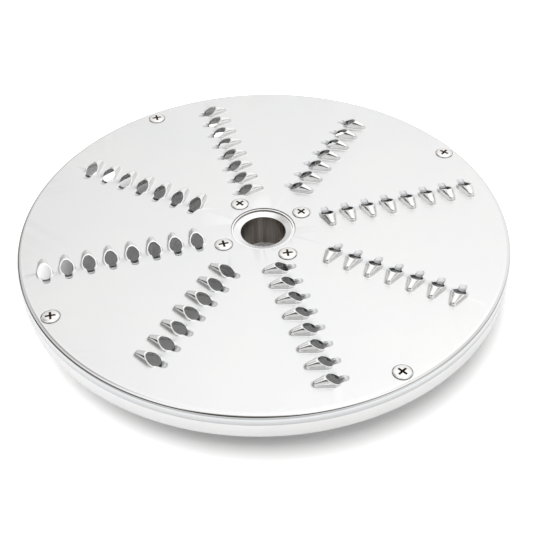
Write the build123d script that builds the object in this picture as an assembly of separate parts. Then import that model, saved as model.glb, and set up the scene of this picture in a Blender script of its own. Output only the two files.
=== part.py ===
from build123d import *
import math
import os

os.makedirs("parts", exist_ok=True)

# Grating disc of a food processor, in millimetres.
# Z runs up along the shaft bore, Z = 0 is the foot of the hub, and the arms lie on X and Y.

# Overall sizes
disc_diameter = 205.0
hub_height = 17.5           # hub foot to the top of the sheet
ring_depth = 10.8           # top of the sheet to the lower edge of the ring

# Shaft bore and hub bushing
bore_diameter = 19.0
bushing_wall = 3.0
bushing_recess = 0.9        # bushing top below the top of the sheet
mouth_land = 0.6            # flat ring left outside the mouth's chamfer
mouth_depth = 0.9
lip_width = 0.6             # the foot of the bore narrows by this much all round
lip_height = 0.9
drive_slot_width = 6.0
drive_slot_depth = 5.0

# Pressed stainless sheet
sheet = 1.5
rim_bend = 2.2              # outside radius of the turned-down rim
bend_flats = 3              # flats that the rim's bend is made of
rim_skirt = 4.2             # depth of the rim below the top of the sheet

# Grater teeth: each is a short tube that slants up out of the sheet, with its mouth cut off at a slope
tube_radius = 2.6
tube_sides = 10
tooth_wall = 0.5            # sheet thinned by the drawing
tube_slope = 30.0           # between the tube and the sheet, in degrees
tube_setback = 1.25         # the tube's axis meets the top of the sheet behind the row's line
mouth_setback = 2.5         # the cutting edge stands behind the row's line
mouth_slope = 40.0          # between the mouth and the sheet, in degrees
tooth_pitch = 9.0           # spacing along a row
tooth_margin = 0.65         # sheet left between a tooth and the hub boss or the ring
row_count = 8
row_lead = 15.25            # a row trails the arm ahead of it by this angle, in degrees
row_stagger = (1, 2, 0, 3)  # quarter pitches that each row starts further out, repeating

# Base casting
ring_width = 6.9
band_step = 0.3             # the ring's bare band lies this far inside the rim's skirt
arm_count = 4
arm_width = 9.0
arm_lift = 0.5              # underside of the arms above the lower edge of the ring
arm_margin = 3.5            # air between the arms and the sheet
arm_root_radius = 4.0
boss_margin = 3.4           # boss outside the circle of the hub screws
spigot_wall = 0.8           # collar that centres the plate round the bushing
spigot_recess = 0.4         # collar top below the top of the sheet
edge_chamfer = 0.3

# Countersunk screws
screw_diameter = 4.0
screw_sides = 14
head_diameter = 7.2
head_stand = 0.6            # the head stands this far proud of the sheet
screw_cover = 2.8           # casting left under the tip of a screw
recess_span = 3.8           # cross recess, tip to tip
recess_width = 0.8
recess_depth = 1.2
rim_screw_land = 0.4        # flat sheet between a rim screw's head and the rim's bend
hub_screw_land = 2.1        # flat sheet between a hub screw's head and the plate's hole

# Clearances
seat_gap = 0.1              # plate over the ring, and plate round the collar
press_gap = 0.02            # bushing in the casting
screw_gap = 0.05            # screw in its hole, and head in its countersink
tip_gap = 0.5               # hole below the tip of a screw

# Levels that follow
top = hub_height
under = top - sheet
ring_bottom = top - ring_depth
skirt_bottom = top - rim_skirt
arm_bottom = ring_bottom + arm_lift
arm_top = under - arm_margin

# Radii that follow, from the bore outwards
bore_radius = bore_diameter / 2
bushing_radius = bore_radius + bushing_wall
collar_radius = bushing_radius + spigot_wall
plate_hole_radius = collar_radius + seat_gap
screw_radius = screw_diameter / 2
head_radius = head_diameter / 2
hub_screw_radius = plate_hole_radius + hub_screw_land + head_radius
boss_radius = hub_screw_radius + boss_margin
disc_radius = disc_diameter / 2
band_radius = disc_radius - band_step
ring_radius = disc_radius - sheet - seat_gap
ring_inner = band_radius - ring_width
seat_chamfer = rim_bend - sheet + seat_gap
rim_screw_radius = disc_radius - rim_bend - rim_screw_land - head_radius
rim_boss_radius = ring_radius - seat_chamfer - rim_screw_radius
screw_length = ring_depth - screw_cover

# Teeth that follow
tooth_radius = tube_radius + tooth_wall
first_tooth_radius = boss_radius + tooth_margin + tooth_radius
last_tooth_radius = ring_inner - tooth_margin - tooth_radius

arm_angles = [360 / arm_count * arm for arm in range(arm_count)]


def turned(outline):
    """Solid turned about Z from a closed outline drawn as (radius, height)."""
    return revolve(Plane.XZ * make_face(outline), Axis.Z)


def slanted_rod(radius):
    """Many-sided rod along a tooth's slanted axis, long enough to pass right through the sheet."""
    reach = (tooth_radius + sheet) / math.sin(math.radians(tube_slope))
    lean = Pos(-tube_setback, 0, 0) * Rot(0, 90 - tube_slope, 0)
    return extrude(lean * RegularPolygon(radius, tube_sides), reach, both=True)


def tooth():
    """Metal of one tooth, rooted in the sheet: its mouth faces X, and Z = 0 is the top of the sheet."""
    slope = math.radians(tube_slope)
    lean = math.radians(mouth_slope)
    crest = (tube_setback - mouth_setback) * math.tan(slope) + tooth_radius / math.cos(slope)
    mouth = Plane((-mouth_setback, 0, crest), z_dir=(math.sin(lean), 0, math.cos(lean)))
    root = Plane.XY.offset(-sheet / 2)
    return split(split(slanted_rod(tooth_radius), root, Keep.TOP), mouth, Keep.BOTTOM)


def tooth_places():
    """Frames of all teeth: X along the turn that the mouth faces, Z up, on the top of the sheet."""
    places = []
    for row in range(row_count):
        start = first_tooth_radius + row_stagger[row % len(row_stagger)] * tooth_pitch / 4
        count = int((last_tooth_radius - start) / tooth_pitch) + 1
        row_frame = Rot(0, 0, 360 / row_count * row - row_lead)
        for place in range(count):
            seat = Pos(start + place * tooth_pitch, 0, top) * Rot(0, 0, 90)
            places.append(row_frame * seat)
    return places


def screw_places(radius):
    """Frames of the screws on one circle, one on each arm, on the top of the sheet."""
    return [Rot(0, 0, angle) * Pos(radius, 0, top) for angle in arm_angles]


def screw_corners(radius, height):
    """Corners of a screw's many-sided section at one height."""
    corner = Vector(radius, 0, height)
    return [corner.rotate(Axis.Z, 360 / screw_sides * side) for side in range(screw_sides)]


def screw_blank(gap, tip):
    """Countersunk screw with many flat sides, or its hole with a gap round it."""
    head = screw_corners(head_radius + gap, head_stand)
    neck = screw_corners(screw_radius + gap, -sheet)
    foot = screw_corners(screw_radius + gap, tip)
    outlines = [head, foot]
    for upper, lower in ((head, neck), (neck, foot)):
        for side in range(screw_sides):
            outlines.append((upper[side - 1], upper[side], lower[side], lower[side - 1]))
    return Solid(Shell([Face(Wire.make_polygon(outline)) for outline in outlines]))


def screw_hole():
    """Hole for one screw: a countersink through the sheet and a plain hole in the casting."""
    return screw_blank(screw_gap, -screw_length - tip_gap)


def screw():
    """One countersunk screw with a cross recess."""
    slot = Pos(0, 0, head_stand) * Box(recess_span, recess_width, 2 * recess_depth)
    return screw_blank(0, -screw_length) - slot - Rot(0, 0, 90) * slot


def grating_plate():
    """Sheet pressed as a shallow cap, with its teeth, its centre hole and its screw holes."""
    bend_radius = disc_radius - rim_bend
    bend_level = top - rim_bend
    bend = []
    for flat in range(bend_flats + 1):
        turn = math.pi / 2 * flat / bend_flats
        bend.append((bend_radius + rim_bend * math.sin(turn), bend_level + rim_bend * math.cos(turn)))
    cap = turned(
        Polyline(
            (plate_hole_radius, top),
            *bend,
            (disc_radius, skirt_bottom),
            (disc_radius - sheet, skirt_bottom),
            (disc_radius - sheet, bend_level),
            (bend_radius, under),
            (plate_hole_radius, under),
            close=True,
        )
    )
    places = tooth_places()
    metal = tooth()
    way = slanted_rod(tube_radius)
    hole = screw_hole()
    screws = screw_places(rim_screw_radius) + screw_places(hub_screw_radius)
    cap += [place * metal for place in places]
    return cap - [place * way for place in places] - [place * hole for place in screws]


def base_casting():
    """Ring, arms and hub boss, turned as one blank with the windows cut between the arms."""
    blank = turned(
        Polyline(
            (ring_radius - seat_chamfer, under),
            (ring_inner, under),
            (ring_inner, arm_top),
            (boss_radius, arm_top),
            (boss_radius, under),
            (collar_radius, under),
            (collar_radius, top - spigot_recess),
            (bushing_radius, top - spigot_recess),
            (bushing_radius, 0),
            (boss_radius - edge_chamfer, 0),
            (boss_radius, edge_chamfer),
            (boss_radius, arm_bottom),
            (ring_inner, arm_bottom),
            (ring_inner, ring_bottom),
            (band_radius - edge_chamfer, ring_bottom),
            (band_radius, ring_bottom + edge_chamfer),
            (band_radius, skirt_bottom - seat_gap),
            (ring_radius, skirt_bottom - seat_gap),
            (ring_radius, under - seat_chamfer),
            close=True,
        )
    )
    arm = Pos(ring_inner / 2, 0) * Rectangle(ring_inner, arm_width)
    windows = Circle(ring_inner) - Circle(boss_radius)
    windows -= [Rot(0, 0, angle) * arm for angle in arm_angles]
    windows = fillet(windows.vertices(), arm_root_radius)
    blank -= extrude(windows, top)
    rim_places = screw_places(rim_screw_radius)
    boss = Pos(0, 0, -sheet) * Cylinder(
        rim_boss_radius, under - arm_bottom, align=(Align.CENTER, Align.CENTER, Align.MAX)
    )
    blank += [place * boss for place in rim_places]
    hole = screw_hole()
    blank -= [place * hole for place in rim_places + screw_places(hub_screw_radius)]
    return blank - drive_slot()


def hub_bushing():
    """Turned sleeve with a chamfered mouth, the shaft bore and a narrow lip at its foot."""
    mouth_top = top - bushing_recess
    lip_radius = bore_radius - lip_width
    outside = bushing_radius - press_gap
    sleeve = turned(
        Polyline(
            (lip_radius, 0),
            (outside, 0),
            (outside, mouth_top),
            (bushing_radius - mouth_land, mouth_top),
            (bore_radius, mouth_top - mouth_depth),
            (bore_radius, lip_height + lip_width),
            (lip_radius, lip_height),
            close=True,
        )
    )
    return sleeve - drive_slot()


def drive_slot():
    """Slot across the foot of the hub for the shaft's cross pin."""
    return Box(
        2 * boss_radius,
        drive_slot_width,
        drive_slot_depth,
        align=(Align.CENTER, Align.CENTER, Align.MIN),
    )


def screw_set(radius):
    """The screws of one circle, as separate solids."""
    one = screw()
    return Compound(children=[place * one for place in screw_places(radius)])


export_step(grating_plate(), "parts/grating_plate.step")
export_step(base_casting(), "parts/base_casting.step")
export_step(hub_bushing(), "parts/hub_bushing.step")
export_step(screw_set(rim_screw_radius), "parts/rim_screws.step")
export_step(screw_set(hub_screw_radius), "parts/hub_screws.step")
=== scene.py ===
import math
from functools import lru_cache

import bmesh
import bpy
import numpy as np
from mathutils import Matrix, Vector
from mathutils.geometry import delaunay_2d_cdt


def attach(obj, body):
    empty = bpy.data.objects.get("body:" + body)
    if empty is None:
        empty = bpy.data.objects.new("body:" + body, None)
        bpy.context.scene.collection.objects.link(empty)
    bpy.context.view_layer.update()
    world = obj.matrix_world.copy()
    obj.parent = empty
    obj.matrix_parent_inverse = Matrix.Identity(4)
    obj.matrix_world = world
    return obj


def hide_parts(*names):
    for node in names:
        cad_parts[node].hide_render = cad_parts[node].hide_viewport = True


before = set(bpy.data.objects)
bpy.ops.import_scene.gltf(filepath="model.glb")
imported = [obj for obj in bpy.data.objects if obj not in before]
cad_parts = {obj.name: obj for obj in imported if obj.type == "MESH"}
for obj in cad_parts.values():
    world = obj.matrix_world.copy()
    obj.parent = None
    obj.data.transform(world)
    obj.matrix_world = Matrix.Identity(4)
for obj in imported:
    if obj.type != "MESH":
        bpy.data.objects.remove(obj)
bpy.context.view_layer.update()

# Sizes are in millimetres, as in the solids, and MM turns them into the frame's metres
MM = 0.001

# Sheet, rim and centre hole
TOP = 17.5                  # top of the sheet
SHEET = 1.5
DISC_RADIUS = 102.5
RIM_BEND = 2.2              # outside radius of the rim's bend
RIM_SKIRT = 4.2             # depth of the rim below the top of the sheet
SKIRT_EDGE = 0.2            # rounding of the skirt's lower edge
BEND_RADIUS = DISC_RADIUS - RIM_BEND
PLATE_HOLE_RADIUS = 13.4
HOLE_EDGE = 0.25            # rounding of the centre hole's edges
HOLE_WALL = 0.02            # the hole's wall, painted dark as shade, reaches this far outside its radius
RIM_SEGMENTS = 288
HOLE_SEGMENTS = 120

# Hub bushing
BUSHING_RADIUS = 12.5
BORE_MOUTH = 15.7           # foot of the mouth's chamfer
BORE_LIP = 1.5              # top of the lip at the foot of the bore

# Screws
HEAD_RADIUS = 3.6
HEAD_STAND = 0.6            # the head stands this far proud of the sheet
# Points of the head: radius and height on its dome, distance inside its radius and height on its brim
HEAD_DOME = ((1.0, 0.585), (1.9, 0.53), (2.7, 0.44), (3.15, 0.35), (3.42, 0.25), (3.56, 0.13))
HEAD_BRIM = ((0.0, 0.02), (0.05, -0.08), (0.54, -0.12))
SCREW_RADIUS = 2.0
SCREW_LENGTH = 8.0
SCREW_GAP = 0.05
SCREW_NECK = 0.3            # the shank starts to widen this far above the sheet's underside
SCREW_TIP = 0.4             # chamfer of the tip
RIM_SCREW_LAND = 0.4        # flat sheet between a rim screw's head and the rim's bend
HUB_SCREW_LAND = 2.1        # flat sheet between a hub screw's head and the centre hole
RIM_SCREW_RADIUS = BEND_RADIUS - RIM_SCREW_LAND - HEAD_RADIUS
HUB_SCREW_RADIUS = PLATE_HOLE_RADIUS + HUB_SCREW_LAND + HEAD_RADIUS
RIM_SCREW_TURNS = (20, 72, 70, 14)
HUB_SCREW_TURNS = (14, 14, 72, 66)
WING_MOUTH = (HEAD_STAND + 0.4, 2.4, 0.50)      # level, half length and half width of a recess wing
WING_FOOT = (HEAD_STAND - 1.4, 1.2, 0.34)
RECESS_REACH = 2.5          # the recess's steep walls lie inside this radius
RECESS_STEEP = 0.9          # rise of the normal, below which a face is steep
RECESS_FLOOR = (1.4, 0.3)   # its floor lies inside this radius and below this height
SEAT_RADIUS = 4.3           # dished sheet round a screw
SEAT_BRIM = ((0.34, 0.01), (0.26, 0.05), (0.12, 0.32), (-0.6, 0.38))    # outside the head's radius, depth
SEAT_SEGMENTS = 48
SCREW_SEGMENTS = 64

# Teeth, drawn up out of the sheet: X is the way that a mouth faces, and Z = 0 is the top of the sheet
CONE_START = -0.5           # widest place of the tooth
CONE_RADIUS = 2.943         # at the widest place
NOSE_START = -6.4
NOSE_RADIUS = 1.4
TOOTH_AXIS = 0.52           # above the sheet
SQUARENESS = 2.8            # flat top and steep sides of the tooth, 2 is round
SIDE_SCALE = 0.93           # under 1 widens the tooth
FLANK_LEAN = 0.2            # the sides lean in towards the top
LEAN_SPAN = 1.7             # the lean grows from the middle out to here
LEAN_TOP = 3.0
TOOTH_WALL = 0.38
HALF_WIDTH = 3.05           # outside the wall
FRONT_FULLNESS = 2.5        # of the opening's front end in plan, 2 is round
HOLE_FRONT = 3.3            # the opening reaches this far ahead of the widest place
FRONT_WALL = 1.0            # the opening's front wall and its groove lie ahead of here
CREST_SETBACK = 3.1
CREST = 2.85
CEILING = 3.2               # above every crest
MOUTH_SLOPE = math.radians(29.0)
MOUTH_FOOT = CREST / math.tan(MOUTH_SLOPE) - CREST_SETBACK
MOUTH_ROUND = 0.05          # rounding between the tooth and its mouth
FOOT_FILLET = 0.6
EDGE_ROUND = 0.16           # rounding of the cut edge
GROOVE_START = 1.0          # round-ended groove ahead of the opening
GROOVE_END = 4.6
GROOVE_RADIUS = 1.4
GROOVE_DEPTH = 0.3
GROOVE_FALL = 0.32          # its floor falls towards the opening
GROOVE_ROUND = 0.3
TROUGH_DEPTH = 0.12         # the sheet is drawn in between the teeth of a row
TROUGH_WIDTH = 1.5
TROUGH_PLACE = 0.9
PAINTED_SHADE_START = 2.4           # the sheet is painted darker as shade from here on, towards the next tooth of the row
PAINTED_SHADE_SPAN = 1.2
GROOVE_SHADE_TONES = ((1.3, 0.0, 0.22), (0.7, 0.35, 0.4))     # painted shade down in the groove: tone, depth at which it starts, depth that it takes

# Rows of teeth
TOOTH_PITCH = 9.0
FIRST_TOOTH_RADIUS = 26.25
LAST_TOOTH_RADIUS = 91.55
ROW_COUNT = 8
ROW_LEAD = 15.25            # a row trails the arm ahead of it by this angle, in degrees
ROW_STAGGER = (1, 2, 0, 3)  # quarter pitches that each row starts further out, repeating

# Mesh of the patch round a tooth: rays from the mouth's middle cross loops that run round it
MOUTH_MIDDLE = 0.2
PATCH_END = 3.7             # half width at a row's two ends
LONG_SIDE = np.array(
    (-9.4, -8.6, -8.0, -7.3, -6.6, -6.0, -5.4, -4.85, -4.2, -3.4, -2.5, -1.6, -0.6, 0.5, 1.7, 3.1, 4.7, 7.2)
)
PATCH_BACK, PATCH_FRONT = LONG_SIDE[0], LONG_SIDE[-1]
BACK_SHARES = np.array((0, 0.13, 0.27, 0.39, 0.45, 0.505, 0.56, 0.615, 0.67, 0.73, 0.8, 0.865, 0.93, 1))
FRONT_SHARES = np.array((0, 0.13, 0.26, 0.38, 0.52, 0.68, 0.84, 1))
RAY_LENGTH = 12.0           # past the patch's corners
EDGE_LOOP = 0.03            # loops this close to a sharp edge hold it
WALL_LOOP = 0.05            # first loop down the outside of the tooth
WALL_SHARES = (0.14, 0.30, 0.46, 0.62, 0.77, 0.9, 1.0)
FIELD_SHARES = (0.1, 0.26, 0.55)
ROOF_SHARES = (0.45, 0.8)
ROOF_LOOPS = len(ROOF_SHARES) + 1
UNDER_LOOP = 0.7            # loop on the underside, outside the hollow
LEAST_EDGE = 0.1            # least width of the cut edge, of the outside below it and of the hollow's wall
LEAST_OUTSIDE = 0.15
LEAST_WALL = 0.06
LEVEL_STEPS = 120
LEVEL_MISS = 0.01           # a level this close to the sheet's underside was not found
HALVINGS = 30
NORMAL_STEP = 0.02
WELD = 0.004                # points closer than this are joined
PLATE_SHARP = 32            # edges that turn by more degrees stay sharp
SCREW_SHARP = 30
PLAIN, SKIN, PIERCED = range(3)     # kinds of faces

# Camera, fitted to the photograph's frame of 533 x 533 pixels, with angles in degrees
CAMERA_TURN = -30.75
CAMERA_ELEVATION = 42.30
CAMERA_ROLL = 1.54
CAMERA_DISTANCE = 451.7
CAMERA_OFFSET = (-1.44, -16.07)
CAMERA_LENS = 72.80
CAMERA_SENSOR = 36.0
CAMERA_NEAR = 10.0

# Studio: directions are azimuth and elevation in degrees, where azimuth 0 is the way that the camera looks
FLOOR_HALF = 4000.0
SHADOW_PLACE = 13.0         # the painted shadow in the floor's glow has its dim middle this far from the hub
SHADOW_AZIMUTH = 159
SHADOW_EDGE = (84.0, 112.0)     # the floor grows bright between these distances from its dim middle
SHADOW_GLOW = (0.05, 1.0)
MIRROR_EDGE = (30.0, 120.0)     # the floor's glow, painted dimmer in reflections, dims between these distances behind the hub
MIRROR_GLOW = (0.45, 0.12)
DARK_SPOTS = (              # azimuth, elevation, full within, gone beyond, level
    (-165, 58, 8, 20, 0.2),
    (-52, 52, 4, 18, 0.4),
    (-50, 2, 9, 22, 0.2),
    (75, 50, 4, 26, 0.7),
    (-28, 8, 8, 26, 0.72),
)

SQUARE = ((-1, -1), (1, -1), (1, 1), (-1, 1))


def new_object(name, data):
    """Object with its data, linked to the scene."""
    piece = bpy.data.objects.new(name, data)
    bpy.context.scene.collection.objects.link(piece)
    return piece


def finished(mesh, name):
    """Mesh data from a bmesh, which is freed."""
    data = bpy.data.meshes.new(name)
    mesh.to_mesh(data)
    mesh.free()
    return data


# Form of one tooth


def smooth_min(a, b, k):
    h = np.clip(0.5 + 0.5 * (b - a) / k, 0, 1)
    return b * (1 - h) + a * h - k * h * (1 - h)


def smooth_max(a, b, k):
    return -smooth_min(-a, -b, k)


def soft_step(value):
    value = np.clip(value, 0, 1)
    return value * value * (3 - 2 * value)


def girth(y, z):
    """Distance from a tooth's axis, measured so that equal girth is a rounded square."""
    return (np.abs(y) ** SQUARENESS + np.abs(z) ** SQUARENESS) ** (1 / SQUARENESS)


def egg(x, y, z, half_x, half_y, half_z):
    """Near distance to an ellipsoid with three half axes."""
    reach = np.sqrt((x / half_x) ** 2 + (y / half_y) ** 2 + (z / half_z) ** 2 + 1e-12)
    slope = np.sqrt((x / half_x**2) ** 2 + (y / half_y**2) ** 2 + (z / half_z**2) ** 2)
    return reach * (reach - 1) / np.maximum(slope, 1e-9)


def round_cone(x, y, z, radius, nose):
    """Distance to a cone along the X axis that ends in a ball at the nose."""
    length = CONE_START - NOSE_START
    sine = (radius - nose) / length
    cosine = math.sqrt(1 - sine * sine)
    along = CONE_START - x
    out = girth(y, z)
    lean = along * cosine - out * sine
    side = out * cosine + along * sine - radius
    end = np.hypot(along - length, out) - nose
    return np.where(lean > length * cosine, end, side)


def tooth_form(x, y, z, inset):
    """Distance to the drawn tooth, or to its hollow with a wall's thickness as inset."""
    above = np.maximum(z - TOOTH_AXIS, 0)
    lean = FLANK_LEAN * np.clip(z, 0, LEAN_TOP) * soft_step(np.abs(y) / LEAN_SPAN)
    side = SIDE_SCALE * np.abs(y) + lean
    back = round_cone(x, side, above, CONE_RADIUS - inset, NOSE_RADIUS - inset)
    width = HALF_WIDTH - inset
    ahead = np.maximum(x - CONE_START, 0) / (HOLE_FRONT + TOOTH_WALL - inset)
    out = girth(side, above) / width
    front = width * ((ahead**FRONT_FULLNESS + out**FRONT_FULLNESS) ** (1 / FRONT_FULLNESS) - 1)
    return np.where(x < CONE_START, back, front)


def dome_distance(x, y, z):
    return tooth_form(x, y, z, 0)


def hollow_distance(x, y, z):
    return tooth_form(x, y, z, TOOTH_WALL)


def groove_distance(x, y, z):
    """Distance to the groove ahead of the opening, whose floor falls towards the opening."""
    place = np.clip(x, GROOVE_START, GROOVE_END)
    below = np.minimum(z - (place - GROOVE_END) * GROOVE_FALL, 0)
    return egg(x - place, y, below, GROOVE_RADIUS, GROOVE_RADIUS, GROOVE_DEPTH)


def mouth_distance(x, z):
    return (x + CREST_SETBACK) * math.sin(MOUTH_SLOPE) + (z - CREST) * math.cos(MOUTH_SLOPE)


def mouth_level(x):
    return CREST - (x + CREST_SETBACK) * math.tan(MOUTH_SLOPE)


def metal(x, y, z):
    """Distance to the sheet with its drawn tooth: negative inside the metal."""
    dome = smooth_max(dome_distance(x, y, z), mouth_distance(x, z), MOUTH_ROUND)
    solid = smooth_max(smooth_min(z, dome, FOOT_FILLET), -groove_distance(x, y, z), GROOVE_ROUND)
    return smooth_max(solid, -hollow_distance(x, y, z), EDGE_ROUND)


def border_between(holds, low, high):
    """Place between low, where a test holds, and high, at which it stops to hold."""
    for _ in range(HALVINGS):
        middle = 0.5 * (low + high)
        held = holds(middle)
        low = np.where(held, middle, low)
        high = np.where(held, high, middle)
    return 0.5 * (low + high)


def top_level(x, y):
    """Height of the upper skin, found by stepping down from above."""
    levels = np.linspace(CEILING, -SHEET, LEVEL_STEPS)
    high = np.full(x.shape, -SHEET)
    low = np.full(x.shape, -SHEET)
    found = np.zeros(x.shape, bool)
    for upper, lower in zip(levels, levels[1:]):
        hit = ~found & (metal(x, y, np.full(x.shape, lower)) < 0)
        high[hit], low[hit] = upper, lower
        found |= hit
    return border_between(lambda z: metal(x, y, z) < 0, low, high)


def rim_level(x, y):
    """Height of the cut edge just outside the opening, where the metal is too thin to be found by steps."""
    level = top_level(x, y)
    missed = level < LEVEL_MISS - SHEET
    return np.where(missed & (x < MOUTH_FOOT), mouth_level(x), level)


def under_level(x, y):
    """Height of the lower skin: the sheet's underside and the roof of the hollow tooth."""
    ground = np.zeros(x.shape)
    open_under = (hollow_distance(x, y, ground) < 0) & (x < MOUTH_FOOT)
    roof = border_between(lambda z: hollow_distance(x, y, z) < 0, ground, np.full(x.shape, CEILING))
    return np.where(open_under, np.minimum(roof, mouth_level(x)), -SHEET)


def drawn_in(x, y, low, high):
    """Share to which the sheet is drawn in along a row: nothing at the row's two ends."""
    fade = np.ones(x.shape)
    if high == PATCH_END:
        fade = fade * soft_step((high - y) / high)
    if low == -PATCH_END:
        fade = fade * soft_step((low - y) / low)
    return np.exp(-(((x - TROUGH_PLACE) / TROUGH_WIDTH) ** 2)) * fade


def skin_normals(x, y, z, low, high):
    """Normals of the upper skin, from the slope of its distance."""

    def distance(x, y, z):
        return metal(x, y, z + TROUGH_DEPTH * drawn_in(x, y, low, high))

    step = NORMAL_STEP
    slope = np.stack(
        (
            distance(x + step, y, z) - distance(x - step, y, z),
            distance(x, y + step, z) - distance(x, y - step, z),
            distance(x, y, z + step) - distance(x, y, z - step),
        ),
        axis=1,
    )
    return slope / np.linalg.norm(slope, axis=1)[:, None]


def painted_shade_tone(x, y, z, share):
    """Painted shade of the sheet: up to 1 where it is drawn in beside a tooth, and on to 2 down in the
    groove.
    """
    beside = share * soft_step((np.abs(y) - PAINTED_SHADE_START) / PAINTED_SHADE_SPAN)
    groove_shade = sum(tone * soft_step((-z - start) / span) for tone, start, span in GROOVE_SHADE_TONES)
    return np.maximum(groove_shade * (x > FRONT_WALL), beside)


# Mesh of the patch round one tooth


def ray_reach(inside, rays):
    """Distance along each ray from the mouth's middle at which a test stops to hold."""

    def holds(distance):
        return inside(MOUTH_MIDDLE + rays[:, 0] * distance, rays[:, 1] * distance)

    return border_between(holds, np.zeros(len(rays)), np.full(len(rays), RAY_LENGTH))


def in_opening(x, y):
    return hollow_distance(x, y, np.maximum(mouth_level(x), -SHEET)) < 0


def in_rim(x, y):
    return dome_distance(x, y, np.maximum(mouth_level(x), 0)) < 0


def in_hollow(x, y):
    return hollow_distance(x, y, np.full(x.shape, -SHEET)) < 0


def in_footprint(x, y):
    ground = np.zeros(x.shape)
    return np.minimum(dome_distance(x, y, ground), groove_distance(x, y, ground)) < 0


def end_side(shares, low, high):
    """Places along a patch's end, from its low side to its high side."""
    return np.concatenate((low * shares[:0:-1], high * shares))


def patch_border(low, high):
    """Points round a patch, counter-clockwise from its back corner at the low side."""
    points = [(x, low) for x in LONG_SIDE[:-1]]
    points += [(PATCH_FRONT, y) for y in end_side(FRONT_SHARES, low, high)[:-1]]
    points += [(x, high) for x in LONG_SIDE[:0:-1]]
    points += [(PATCH_BACK, y) for y in end_side(BACK_SHARES, low, high)[:0:-1]]
    return np.array(points)


def patch_loops(low, high):
    """Loops of plan points from the opening's edge out to the patch's border, above and below."""
    centre = np.array([MOUTH_MIDDLE, 0])
    rays = patch_border(low, high) - centre
    reach = np.hypot(rays[:, 0], rays[:, 1])
    rays = rays / reach[:, None]
    inner = ray_reach(in_opening, rays)
    outer = np.maximum(ray_reach(in_rim, rays), inner + LEAST_EDGE)
    foot = np.maximum(ray_reach(in_footprint, rays), outer + LEAST_OUTSIDE)
    hollow = np.maximum(ray_reach(in_hollow, rays), inner + LEAST_WALL)
    wall = outer + WALL_LOOP
    above = [inner, inner + EDGE_LOOP, outer - EDGE_LOOP, wall]
    above += [wall + (foot - wall) * share for share in WALL_SHARES]
    above += [foot + (reach - foot) * share for share in FIELD_SHARES]
    above.append(reach)
    below = [inner]
    below += [inner + (hollow - inner) * share for share in ROOF_SHARES]
    below += [hollow - EDGE_LOOP, np.minimum(hollow + UNDER_LOOP, 0.5 * (hollow + reach)), reach]
    return [[centre + rays * distance[:, None] for distance in loops] for loops in (above, below)]


@lru_cache(maxsize=None)
def tooth_patch(low, high):
    """Vertices and faces of the upper and lower skins round one tooth.

    Each vertex also has the sheet's painted shade and its normal. Each face has its kind: SKIN on the smooth
    upper skin, PIERCED on the opening's front wall, which is painted dark as shade, else PLAIN.
    """
    above, below = patch_loops(low, high)
    count = len(above[0])
    vertices, tones, normals = [], [], []
    for number, loop in enumerate(above):
        x, y = loop.T
        share = drawn_in(x, y, low, high)
        if number == 0:
            z = np.minimum(rim_level(*above[1].T), np.maximum(mouth_level(x), 0))
        elif number == 1:
            z = rim_level(x, y)
        elif number == len(above) - 1:
            z = -TROUGH_DEPTH * share
        else:
            z = top_level(x, y) - TROUGH_DEPTH * share
        vertices += list(zip(x, y, z))
        tones += list(painted_shade_tone(x, y, z, share))
        normals += list(skin_normals(x, y, z, low, high))
    for number, loop in enumerate(below[1:]):
        x, y = loop.T
        z = under_level(x, y) if number < ROOF_LOOPS else np.full(count, -SHEET)
        vertices += list(zip(x, y, z))
        tones += [0] * count
        normals += [(0, 0, -1)] * count
    rings = np.arange(len(vertices)).reshape(-1, count)
    upper = rings[: len(above)]
    lower = [rings[0], *rings[len(above) :]]
    faces, kinds = [], []
    for number, (first, second) in enumerate(zip(upper, upper[1:])):
        for spot in range(count):
            after = (spot + 1) % count
            faces.append((first[spot], first[after], second[after], second[spot]))
            kinds.append(SKIN if number > 1 else PLAIN)
    for number, (first, second) in enumerate(zip(lower, lower[1:])):
        for spot in range(count):
            after = (spot + 1) % count
            faces.append((first[spot], second[spot], second[after], first[after]))
            in_front = below[0][spot][0] > FRONT_WALL
            kinds.append(PIERCED if number < ROOF_LOOPS and in_front else PLAIN)
    return np.array(vertices), faces, tones, np.array(normals), kinds


# Grating plate


def in_row(angle, out, along):
    """Place on the plate, from the distance out along a row's line and the distance along the turn."""
    cosine, sine = math.cos(angle), math.sin(angle)
    return out * cosine - along * sine, out * sine + along * cosine


def row_places():
    """Angle of each row and the radii of its teeth."""
    rows = []
    for row in range(ROW_COUNT):
        start = FIRST_TOOTH_RADIUS + ROW_STAGGER[row % len(ROW_STAGGER)] * TOOTH_PITCH / 4
        count = int((LAST_TOOTH_RADIUS - start) / TOOTH_PITCH) + 1
        angle = math.radians(360 / ROW_COUNT * row - ROW_LEAD)
        rows.append((angle, [start + number * TOOTH_PITCH for number in range(count)]))
    return rows


def tooth_span(number, count):
    """Both sides of a tooth's patch: the row's first and last patches are cut short."""
    low = -PATCH_END if number == count - 1 else -TOOTH_PITCH / 2
    high = PATCH_END if number == 0 else TOOTH_PITCH / 2
    return low, high


def row_outline(angle, radii, spans):
    """Outline of a row's patches, counter-clockwise from the inner back corner."""
    front, back = [], []
    for radius, span in zip(radii, spans):
        front += list(radius - end_side(FRONT_SHARES, *span)[:0:-1])
        back += list(radius - end_side(BACK_SHARES, *span)[:0:-1])
    end = radii[-1] + PATCH_END
    strip = [(along, front[0]) for along in LONG_SIDE[:-1]]
    strip += [(PATCH_FRONT, out) for out in front]
    strip += [(along, end) for along in LONG_SIDE[:0:-1]]
    strip += [(PATCH_BACK, end)]
    strip += [(PATCH_BACK, out) for out in back[:0:-1]]
    return [in_row(angle, out, along) for along, out in strip]


def circle(radius, segments, centre=(0, 0)):
    turns = [2 * math.pi * number / segments for number in range(segments)]
    return [(centre[0] + radius * math.cos(t), centre[1] + radius * math.sin(t)) for t in turns]


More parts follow.
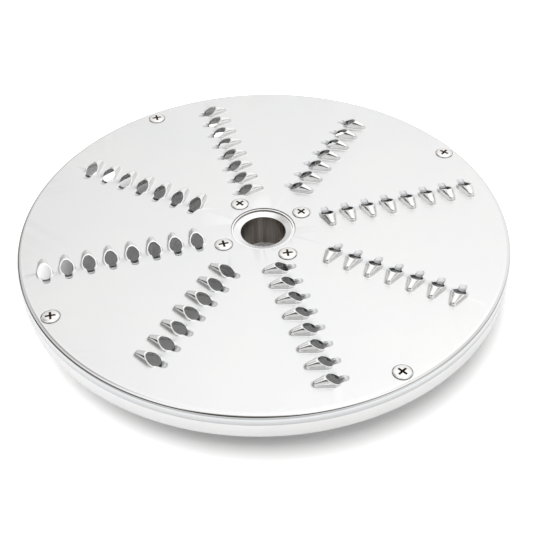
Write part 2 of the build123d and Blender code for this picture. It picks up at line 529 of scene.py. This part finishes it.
def arc(centre, radius, start, end, steps):
    turns = [math.radians(start + (end - start) * step / steps) for step in range(steps + 1)]
    return [(centre[0] + radius * math.cos(t), centre[1] + radius * math.sin(t)) for t in turns]


def screw_centres(radius):
    return [(radius * math.cos(t), radius * math.sin(t)) for t in (0, math.pi / 2, math.pi, 3 * math.pi / 2)]


def inside_polygon(points, polygon):
    """Which of the points lie inside a polygon."""
    inside = np.zeros(len(points), bool)
    x, y = points[:, 0], points[:, 1]
    before = polygon[-1]
    for corner in polygon:
        crosses = (corner[1] > y) != (before[1] > y)
        with np.errstate(divide="ignore", invalid="ignore"):
            at = (before[0] - corner[0]) * (y - corner[1]) / (before[1] - corner[1]) + corner[0]
        inside ^= crosses & (x < at)
        before = corner
    return inside


def add_lathe(mesh, rings, segments, centre=(0, 0)):
    """Adds a surface turned about Z from (radius, height) points to a bmesh."""
    loops = []
    for radius, height in rings:
        loops.append([mesh.verts.new((x, y, height)) for x, y in circle(radius, segments, centre)])
    for first, second in zip(loops, loops[1:]):
        for spot in range(segments):
            after = (spot + 1) % segments
            mesh.faces.new((first[spot], first[after], second[after], second[spot]))
    return loops


def add_tooth(mesh, angle, radius, span):
    """Adds the patch of one tooth, with its marks and painted shade, to the plate."""
    painted_shade = mesh.verts.layers.float["painted_shade"]
    lean = mesh.verts.layers.float_vector["lean"]
    hollow = mesh.faces.layers.float["hollow"]
    skin = mesh.faces.layers.float["skin"]
    vertices, faces, tones, normals, kinds = tooth_patch(*span)
    along, inward, height = vertices.T
    x, y = in_row(angle, radius - inward, along)
    made = [mesh.verts.new(point) for point in zip(x, y, height + TOP)]
    for vertex, tone, (ahead, aside, up) in zip(made, tones, normals):
        vertex[painted_shade] = tone
        vertex[lean] = (*in_row(angle, -aside, ahead), up)
    for corners, kind in zip(faces, kinds):
        face = mesh.faces.new([made[spot] for spot in corners])
        # PIERCED faces take the hollow mark, which paints them dark as shade
        face[hollow] = kind == PIERCED
        face[skin] = kind == SKIN


def fill_flat(mesh, outlines):
    """Fills the flat sheet, upper and lower side, between the outlines; the last outline is the outer one."""
    lean = mesh.verts.layers.float_vector["lean"]
    skin = mesh.faces.layers.float["skin"]
    points, edges = [], []
    for outline in outlines:
        base, count = len(points), len(outline)
        points += [Vector(point) for point in outline]
        edges += [(base + spot, base + (spot + 1) % count) for spot in range(count)]
    verts, _, faces, _, _, _ = delaunay_2d_cdt(points, edges, [], 1, 1e-5)
    places = np.array([(v.x, v.y) for v in verts])
    corners = np.array([list(face) for face in faces])
    centres = places[corners].mean(1)
    keep = np.hypot(centres[:, 0], centres[:, 1]) < np.hypot(*outlines[-1][0])
    for hole in outlines[:-1]:
        keep &= ~inside_polygon(centres, np.array(hole))
    upper = [mesh.verts.new((x, y, TOP)) for x, y in places]
    lower = [mesh.verts.new((x, y, TOP - SHEET)) for x, y in places]
    for vertex in upper:
        vertex[lean] = (0, 0, 1)
    for face in corners[keep]:
        mesh.faces.new([upper[spot] for spot in face])[skin] = 1
        mesh.faces.new([lower[spot] for spot in face[::-1]])


def add_rim(mesh):
    """Adds the rounded rim with its skirt, and the edge of the centre hole with its wall painted dark as
    shade.
    """
    hollow = mesh.faces.layers.float["hollow"]
    bend = (BEND_RADIUS, TOP - RIM_BEND)
    low = TOP - RIM_SKIRT
    rim = arc(bend, RIM_BEND, 90, 0, 12)
    rim += arc((DISC_RADIUS - SKIRT_EDGE, low + SKIRT_EDGE), SKIRT_EDGE, 0, -90, 3)
    rim.append((DISC_RADIUS - SHEET, low))
    rim += arc(bend, RIM_BEND - SHEET, 0, 90, 4)
    add_lathe(mesh, rim, RIM_SEGMENTS)
    edge_radius = PLATE_HOLE_RADIUS + HOLE_EDGE
    hole = arc((edge_radius, TOP - HOLE_EDGE), HOLE_EDGE, 90, 180, 3)
    hole += arc((edge_radius, TOP - SHEET + HOLE_EDGE), HOLE_EDGE, 180, 270, 3)
    add_lathe(mesh, hole, HOLE_SEGMENTS)
    # The centre hole's wall takes the hollow mark, which paints it dark as shade
    for face in mesh.faces:
        if face.calc_center_median().xy.length < PLATE_HOLE_RADIUS + HOLE_WALL:
            face[hollow] = 1


def add_seat(mesh, centre):
    """Adds the countersunk seat of a screw with a softly dished brim."""
    profile = [(SEAT_RADIUS, TOP)]
    profile += [(HEAD_RADIUS + out, TOP - depth) for out, depth in SEAT_BRIM]
    profile += [(SCREW_RADIUS + SCREW_GAP, TOP - SHEET), (SEAT_RADIUS, TOP - SHEET)]
    add_lathe(mesh, profile, SEAT_SEGMENTS, centre)


def build_plate():
    """The pressed sheet: drawn teeth, flat fields between them, dished screw seats and a rounded rim."""
    mesh = bmesh.new()
    mesh.verts.layers.float.new("painted_shade")
    mesh.verts.layers.float_vector.new("lean")
    mesh.faces.layers.float.new("hollow")
    mesh.faces.layers.float.new("skin")
    outlines = []
    for angle, radii in row_places():
        spans = [tooth_span(number, len(radii)) for number in range(len(radii))]
        for radius, span in zip(radii, spans):
            add_tooth(mesh, angle, radius, span)
        outlines.append(row_outline(angle, radii, spans))
    seats = screw_centres(RIM_SCREW_RADIUS) + screw_centres(HUB_SCREW_RADIUS)
    outlines += [circle(SEAT_RADIUS, SEAT_SEGMENTS, seat) for seat in seats]
    outlines.append(circle(PLATE_HOLE_RADIUS + HOLE_EDGE, HOLE_SEGMENTS))
    outlines.append(circle(BEND_RADIUS, RIM_SEGMENTS))
    fill_flat(mesh, outlines)
    add_rim(mesh)
    for seat in seats:
        add_seat(mesh, seat)
    bmesh.ops.remove_doubles(mesh, verts=mesh.verts, dist=WELD)
    bmesh.ops.recalc_face_normals(mesh, faces=mesh.faces)
    bmesh.ops.scale(mesh, vec=(MM, MM, MM), verts=mesh.verts)
    return finished(mesh, "grating_plate_sheet")


def set_skin_normals(data):
    """Gives the upper skin's corners the normals of the drawn form, and leaves other corners as they are."""
    lean, skin = data.attributes["lean"], data.attributes["skin"]
    normals = [(0, 0, 0)] * len(data.loops)
    for face, upper in zip(data.polygons, skin.data):
        if upper.value:
            for spot in face.loop_indices:
                normals[spot] = tuple(lean.data[data.loops[spot].vertex_index].vector)
    data.normals_split_custom_set(normals)
    for name in ("lean", "skin"):
        data.attributes.remove(data.attributes[name])


# Screws


def screw_body():
    """Countersunk screw with a low domed head, still without its recess."""
    mesh = bmesh.new()
    taper = (HEAD_RADIUS - SCREW_RADIUS) / (SHEET + HEAD_STAND)
    profile = list(HEAD_DOME)
    profile += [(HEAD_RADIUS - inset, level) for inset, level in HEAD_BRIM]
    profile += [(SCREW_RADIUS + taper * SCREW_NECK, SCREW_NECK - SHEET), (SCREW_RADIUS, -SHEET)]
    profile += [(SCREW_RADIUS, SCREW_TIP - SCREW_LENGTH), (SCREW_RADIUS - SCREW_TIP, -SCREW_LENGTH)]
    loops = add_lathe(mesh, profile, SCREW_SEGMENTS)
    top = mesh.verts.new((0, 0, HEAD_STAND))
    foot = mesh.verts.new((0, 0, -SCREW_LENGTH))
    for spot in range(SCREW_SEGMENTS):
        after = (spot + 1) % SCREW_SEGMENTS
        mesh.faces.new((top, loops[0][after], loops[0][spot]))
        mesh.faces.new((foot, loops[-1][spot], loops[-1][after]))
    bmesh.ops.recalc_face_normals(mesh, faces=mesh.faces)
    return finished(mesh, "screw_body")


def cross_wing():
    """One wing of the cross recess: a bar that narrows and shortens with depth."""
    mesh = bmesh.new()
    upper, lower = [
        [mesh.verts.new((x * length, y * width, level)) for x, y in SQUARE]
        for level, length, width in (WING_MOUTH, WING_FOOT)
    ]
    mesh.faces.new(upper)
    mesh.faces.new(lower[::-1])
    for spot in range(4):
        after = (spot + 1) % 4
        mesh.faces.new((upper[after], upper[spot], lower[spot], lower[after]))
    bmesh.ops.recalc_face_normals(mesh, faces=mesh.faces)
    return finished(mesh, "cross_wing")


def build_screw():
    """One screw with its cross recess cut, and the recess's faces marked."""
    blank = new_object("screw_blank", screw_body())
    cutters = []
    for turn in (0, 90):
        cutter = new_object("screw_cutter", cross_wing())
        cutter.rotation_euler = (0, 0, math.radians(turn))
        cut = blank.modifiers.new("recess", "BOOLEAN")
        cut.operation = "DIFFERENCE"
        cut.solver = "EXACT"
        cut.object = cutter
        cutters.append(cutter)
    bpy.context.view_layer.update()
    graph = bpy.context.evaluated_depsgraph_get()
    result = bpy.data.meshes.new_from_object(blank.evaluated_get(graph))
    for helper in (blank, *cutters):
        bpy.data.objects.remove(helper)
    floor_radius, floor_level = RECESS_FLOOR
    mark = result.attributes.new("recess", "FLOAT", "FACE")
    for face, value in zip(result.polygons, mark.data):
        radius = math.hypot(face.center.x, face.center.y)
        on_wall = radius < RECESS_REACH and face.normal.z < RECESS_STEEP
        on_floor = radius < floor_radius and face.center.z < floor_level
        value.value = float(on_wall or on_floor)
    return result


def screw_set(name, source, radius, turns):
    """The four screws of one circle as one piece."""
    mesh = bmesh.new()
    for (x, y), turn in zip(screw_centres(radius), turns):
        before = len(mesh.verts)
        mesh.from_mesh(source)
        mesh.verts.ensure_lookup_table()
        place = Matrix.Translation((x, y, TOP)) @ Matrix.Rotation(math.radians(turn), 4, "Z")
        bmesh.ops.transform(mesh, matrix=place, verts=mesh.verts[before:])
    bmesh.ops.scale(mesh, vec=(MM, MM, MM), verts=mesh.verts)
    return new_object(name, finished(mesh, name))


def soften(piece, degrees):
    """Shades a piece smooth, apart from edges that turn by more than an angle."""
    piece.data.shade_smooth()
    piece.data.set_sharp_from_angle(angle=math.radians(degrees))


# Materials


class Graph:
    """Nodes of one material or world, with short ways to add them."""

    def __init__(self, tree):
        self.nodes, self.links = tree.nodes, tree.links
        self.nodes.clear()

    def fill(self, node, inputs):
        """Links a node's inputs to outputs of other nodes, or sets them."""
        for name, value in inputs.items():
            if isinstance(value, bpy.types.NodeSocket):
                self.links.new(value, node.inputs[name])
            else:
                node.inputs[name].default_value = value
        return node

    def node(self, kind, inputs):
        return self.fill(self.nodes.new("ShaderNode" + kind), inputs)

    def maths(self, operation, *values):
        node = self.nodes.new("ShaderNodeMath")
        node.operation = operation
        return self.fill(node, dict(enumerate(values))).outputs[0]

    def vector(self, operation, *values):
        node = self.nodes.new("ShaderNodeVectorMath")
        node.operation = operation
        return self.fill(node, dict(enumerate(values))).outputs

    def ranged(self, source, start, end, low=0.0, high=1.0, course="SMOOTHSTEP"):
        """Goes from low to high while the source goes from start to end."""
        node = self.nodes.new("ShaderNodeMapRange")
        node.interpolation_type = course
        inputs = {"Value": source, "From Min": start, "From Max": end, "To Min": low, "To Max": high}
        return self.fill(node, inputs).outputs[0]

    def ramp(self, source, first, second, start=0.3, end=0.7):
        """Goes from one colour to another while the source goes from start to end."""
        node = self.node("ValToRGB", {0: source})
        for element, place, colour in zip(node.color_ramp.elements, (start, end), (first, second)):
            element.position = place
            element.color = (*colour, 1)
        return node.outputs[0]

    def mixed(self, share, first, second):
        node = self.nodes.new("ShaderNodeMix")
        node.data_type = "RGBA"
        return self.fill(node, {"Factor": share, 6: first, 7: second}).outputs[2]

    def noise(self, place, scale, detail, roughness=0.5):
        inputs = {"Vector": place, "Scale": scale, "Detail": detail, "Roughness": roughness}
        return self.node("TexNoise", inputs).outputs["Fac"]

    def bump(self, height, strength, distance):
        inputs = {"Height": height, "Strength": strength, "Distance": distance * MM}
        return self.node("Bump", inputs).outputs[0]

    def mark(self, name):
        """Value of a mark that the mesh carries."""
        node = self.nodes.new("ShaderNodeAttribute")
        node.attribute_name = name
        return node.outputs["Fac"]

    def place(self):
        return self.node("TexCoord", {}).outputs["Object"]

    def height(self, place):
        return self.node("SeparateXYZ", {0: place}).outputs["Z"]

    def axis_distance(self, place):
        """Distance from the axis of the shaft bore."""
        flat = self.vector("MULTIPLY", place, (1, 1, 0))[0]
        return self.vector("LENGTH", flat)["Value"]

    def metal_surface(self, colour, metallic, roughness, normal):
        inputs = {"Base Color": colour, "Metallic": metallic, "Roughness": roughness, "Normal": normal}
        shader = self.node("BsdfPrincipled", inputs)
        self.node("OutputMaterial", {0: shader.outputs[0]})


def new_material(name):
    material = bpy.data.materials.new(name)
    material.use_nodes = True
    return material, Graph(material.node_tree)


def grey(value):
    return (value, value, value)


def sheet_material():
    """Satin sheet, burnished bright where drawn or bent, with painted shade beside teeth, in grooves, on the
    skirt and in holes.
    """
    material, graph = new_material("plate_steel")
    place = graph.place()
    height, radius = graph.height(place), graph.axis_distance(place)
    painted_shade = graph.mark("painted_shade")
    cloud = graph.noise(place, 30.0, 4.0)
    clean = graph.ramp(cloud, (0.785, 0.787, 0.79), (0.805, 0.805, 0.80))
    # painted shade: the sheet beside the teeth of a row and the turned-down skirt are painted darker
    painted_shade_colour = graph.ramp(cloud, (0.68, 0.69, 0.70), (0.71, 0.72, 0.725))
    # painted shade down in the groove ahead of each opening
    groove_shade = graph.ramp(cloud, (0.28, 0.28, 0.29), (0.34, 0.34, 0.35))
    burnished = graph.ramp(cloud, (0.83, 0.83, 0.83), (0.87, 0.87, 0.865))
    # painted shade on the centre hole's wall and inside the tooth openings
    dark = graph.ramp(cloud, grey(0.22), grey(0.30))
    raised = graph.ranged(height, (TOP + 0.05) * MM, (TOP + 0.5) * MM)
    turned_down = graph.ranged(radius, (DISC_RADIUS - 0.9) * MM, (DISC_RADIUS - 0.3) * MM)
    colour = graph.mixed(painted_shade, clean, painted_shade_colour)
    colour = graph.mixed(graph.ranged(painted_shade, 1.0, 2.0), colour, groove_shade)
    colour = graph.mixed(raised, colour, burnished)
    colour = graph.mixed(turned_down, colour, painted_shade_colour)
    colour = graph.mixed(graph.mark("hollow"), colour, dark)
    off_flat = graph.maths("ABSOLUTE", graph.maths("SUBTRACT", height, TOP * MM))
    drawn = graph.ranged(off_flat, 0.1 * MM, 0.5 * MM, 0.36, 0.17)
    rim = graph.ranged(radius, (BEND_RADIUS - 0.8) * MM, (BEND_RADIUS + 0.5) * MM, 1.0, 0.55, "LINEAR")
    grain = graph.ramp(graph.noise(place, 900.0, 3.0, 0.6), grey(0.85), grey(1.0))
    roughness = graph.maths("MULTIPLY", graph.maths("MULTIPLY", drawn, rim), grain)
    graph.metal_surface(colour, 1.0, roughness, graph.bump(graph.noise(place, 22.0, 2.0), 0.02, 0.6))
    return material


def cast_material():
    """Satin casting with a faintly clouded colour, a slight waviness and painted shade in the gap round the
    bushing.
    """
    material, graph = new_material("cast_aluminium")
    place = graph.place()
    cloud = graph.noise(place, 38.0, 4.0)
    clean = graph.ramp(cloud, grey(0.89), grey(0.93))
    # painted shade in the gap between the casting and the bushing
    gap_shade = graph.ramp(cloud, (0.24, 0.21, 0.18), (0.32, 0.29, 0.26))
    radius = graph.axis_distance(place)
    outside = graph.ranged(radius, (BUSHING_RADIUS + 0.02) * MM, (BUSHING_RADIUS + 0.06) * MM)
    roughness = graph.ramp(graph.noise(place, 1400.0, 3.0, 0.6), grey(0.30), grey(0.42))
    bump = graph.bump(graph.noise(place, 22.0, 2.0), 0.04, 0.6)
    graph.metal_surface(graph.mixed(outside, gap_shade, clean), 1.0, roughness, bump)
    return material


def bushing_material():
    """Turned steel, bright at the mouth and the foot's lip, and dark brown with streaks down the bore."""
    material, graph = new_material("hub_steel")
    place = graph.place()
    height = graph.height(place)
    streak = graph.noise(graph.vector("MULTIPLY", place, (1, 1, 0.03))[0], 420.0, 4.0, 0.6)
    bore = graph.ramp(streak, (0.20, 0.175, 0.15), (0.44, 0.41, 0.38), 0.35, 0.65)
    bright = graph.ramp(graph.noise(place, 60.0, 3.0), grey(0.84), grey(0.92))
    mouth = graph.ranged(height, (BORE_MOUTH - 0.15) * MM, (BORE_MOUTH + 0.05) * MM)
    lip = graph.ranged(height, (BORE_LIP + 0.05) * MM, (BORE_LIP - 0.05) * MM)
    colour = graph.mixed(lip, graph.mixed(mouth, bore, bright), bright)
    metallic = graph.ramp(lip, grey(1.0), grey(0.2), 0.0, 1.0)
    roughness = graph.ramp(streak, grey(0.24), grey(0.36))
    graph.metal_surface(colour, metallic, roughness, graph.bump(streak, 0.05, 0.2))
    return material


def screw_material():
    """Bright screw heads, slightly warm, with a dull cross recess painted dark brown as shade."""
    material, graph = new_material("screw_steel")
    place = graph.place()
    recess = graph.mark("recess")
    cloud = graph.noise(place, 220.0, 3.0)
    head = graph.ramp(cloud, (0.80, 0.785, 0.765), (0.86, 0.85, 0.83))
    # painted shade in the cross recess
    recess_shade = graph.ramp(cloud, (0.05, 0.026, 0.014), (0.17, 0.10, 0.06))
    metallic = graph.ramp(recess, grey(1.0), grey(0.2), 0.0, 1.0)
    roughness = graph.ramp(recess, grey(0.2), grey(0.6), 0.0, 1.0)
    bump = graph.bump(graph.noise(place, 900.0, 2.0), 0.03, 0.2)
    graph.metal_surface(graph.mixed(recess, head, recess_shade), metallic, roughness, bump)
    return material


def floor_material():
    """Pale floor that stays white for the camera and keeps the disc's shadow, with painted shadow in its glow
    and painted dim reflections.
    """
    material, graph = new_material("floor_white")
    place = graph.place()
    path = graph.node("LightPath", {}).outputs
    # painted reflection: the glow seen in the metal dims from front to back
    behind = graph.vector("DOT_PRODUCT", place, direction(0, 0))["Value"]
    start, end = (edge * MM for edge in MIRROR_EDGE)
    dimmed = graph.ranged(behind, start, end, *MIRROR_GLOW, "LINEAR")
    mirrored = graph.maths("MULTIPLY", path["Is Glossy Ray"], dimmed)
    seen = graph.maths("MAXIMUM", path["Is Camera Ray"], mirrored)
    # painted shadow: the glow is dim round a middle near the hub and grows bright outwards
    middle = [SHADOW_PLACE * MM * part for part in direction(SHADOW_AZIMUTH, 0)]
    away = graph.vector("DISTANCE", place, middle)["Value"]
    start, end = (edge * MM for edge in SHADOW_EDGE)
    clear = graph.ranged(away, start, end, *SHADOW_GLOW)
    diffuse = graph.node("BsdfDiffuse", {"Color": (0.94, 0.94, 0.94, 1)})
    glow = graph.node("Emission", {"Color": (1, 1, 1, 1), "Strength": graph.maths("MULTIPLY", clear, seen)})
    both = graph.node("AddShader", {0: diffuse.outputs[0], 1: glow.outputs[0]})
    graph.node("OutputMaterial", {0: both.outputs[0]})
    return material


# Studio


def direction(azimuth, elevation):
    """Unit vector: azimuth 0 is the way the camera looks, positive to its right."""
    turn = math.radians(90 + CAMERA_TURN - azimuth)
    rise = math.radians(elevation)
    return (math.cos(rise) * math.cos(turn), math.cos(rise) * math.sin(turn), math.sin(rise))


class Sky(Graph):
    """Nodes of the world, with forms that are laid over its directions."""

    def __init__(self, tree):
        super().__init__(tree)
        self.looking = self.node("TexCoord", {}).outputs["Generated"]

    def facing(self, azimuth, elevation):
        """Cosine of the angle from a direction."""
        return self.vector("DOT_PRODUCT", self.looking, direction(azimuth, elevation))["Value"]

    def spot(self, azimuth, elevation, near, far, inside, outside):
        """Round spot with a soft edge between two angles from its middle."""
        start, end = math.cos(math.radians(far)), math.cos(math.radians(near))
        return self.ranged(self.facing(azimuth, elevation), start, end, outside, inside)

    def band(self, source, *angles):
        """Rises from 0 to 1, stays and falls again while an angle passes four values in degrees."""
        start, full, fall, end = (math.cos(math.radians(angle)) for angle in angles)
        falls, rises = self.ranged(source, end, fall), self.ranged(source, full, start, 1.0, 0.0)
        return self.maths("MULTIPLY", falls, rises)


def studio_world():
    """White studio, brighter to the right and overhead: the metal mirrors its dark arch and dark spots."""
    world = bpy.data.worlds.new("studio")
    world.use_nodes = True
    sky = Sky(world.node_tree)
    sideways = sky.ranged(sky.facing(60, 0), -0.3, 0.6, 0.92, 1.24)
    upwards = sky.ranged(sky.facing(0, 90), 0.55, 0.78, 0.82, 1.13)
    walls = sky.maths("MULTIPLY", sideways, upwards)
    light = sky.maths("ADD", walls, sky.spot(-150, 80, 10, 34, 0.15, 0.0))
    arch_fade = sky.ranged(sky.facing(75, 10), 0.1, 0.8, 0.9, 0.5)
    arch = sky.maths("MULTIPLY", sky.band(sky.facing(0, 56), 62, 71, 79, 90), arch_fade)
    shade = sky.ranged(arch, 0.0, 1.0, 1.0, 0.0)
    for spot in DARK_SPOTS:
        shade = sky.maths("MULTIPLY", shade, sky.spot(*spot, 1.0))
    tint = sky.ramp(shade, (1.0, 0.90, 0.82), grey(1.0), 0.1, 0.8)
    background = sky.node("Background", {"Color": tint, "Strength": sky.maths("MULTIPLY", light, shade)})
    sky.node("OutputWorld", {0: background.outputs[0]})
    return world


def build_floor():
    """Wide square floor at the foot of the hub."""
    data = bpy.data.meshes.new("floor")
    data.from_pydata([(x * FLOOR_HALF * MM, y * FLOOR_HALF * MM, 0) for x, y in SQUARE], [], [(0, 1, 2, 3)])
    data.materials.append(floor_material())
    return new_object("floor", data)


def build_camera():
    """Camera that looks at the middle of the sheet's top, shifted and rolled as the photograph is."""
    elevation, roll = math.radians(CAMERA_ELEVATION), math.radians(CAMERA_ROLL)
    ahead = Vector((0, math.cos(elevation), -math.sin(elevation)))
    right = Vector((1, 0, 0))
    down = Vector((0, -math.sin(elevation), -math.cos(elevation)))
    image_right = math.cos(roll) * right + math.sin(roll) * down
    image_down = -math.sin(roll) * right + math.cos(roll) * down
    stand = -ahead * CAMERA_DISTANCE - CAMERA_OFFSET[0] * image_right - CAMERA_OFFSET[1] * image_down
    turn = Matrix.Rotation(math.radians(CAMERA_TURN), 4, "Z")
    basis = Matrix((image_right, -image_down, -ahead)).transposed().to_4x4()
    camera = new_object("camera", bpy.data.cameras.new("camera"))
    camera.data.lens = CAMERA_LENS
    camera.data.sensor_width = CAMERA_SENSOR
    camera.data.clip_start = CAMERA_NEAR * MM
    camera.matrix_world = Matrix.Translation(turn @ (stand * MM) + Vector((0, 0, TOP * MM))) @ turn @ basis
    return camera


# Pieces in place of the solids, and materials of the solids that stay

plate = new_object("grating_plate_sheet", build_plate())
soften(plate, PLATE_SHARP)
set_skin_normals(plate.data)
plate.data.materials.append(sheet_material())
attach(plate, "root")
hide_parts("grating_plate")

screw_mesh = build_screw()
screw_steel = screw_material()
for name, node, radius, turns in (
    ("rim_screw_set", "rim_screws", RIM_SCREW_RADIUS, RIM_SCREW_TURNS),
    ("hub_screw_set", "hub_screws", HUB_SCREW_RADIUS, HUB_SCREW_TURNS),
):
    piece = screw_set(name, screw_mesh, radius, turns)
    soften(piece, SCREW_SHARP)
    piece.data.materials.append(screw_steel)
    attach(piece, "root")
    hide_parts(node)

for node, material in (("base_casting", cast_material()), ("hub_bushing", bushing_material())):
    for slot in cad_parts[node].material_slots:
        slot.material = material

# Studio round the disc

build_floor()
bpy.context.scene.world = studio_world()
bpy.context.scene.camera = build_camera()
bpy.context.scene.view_settings.view_transform = "Standard"
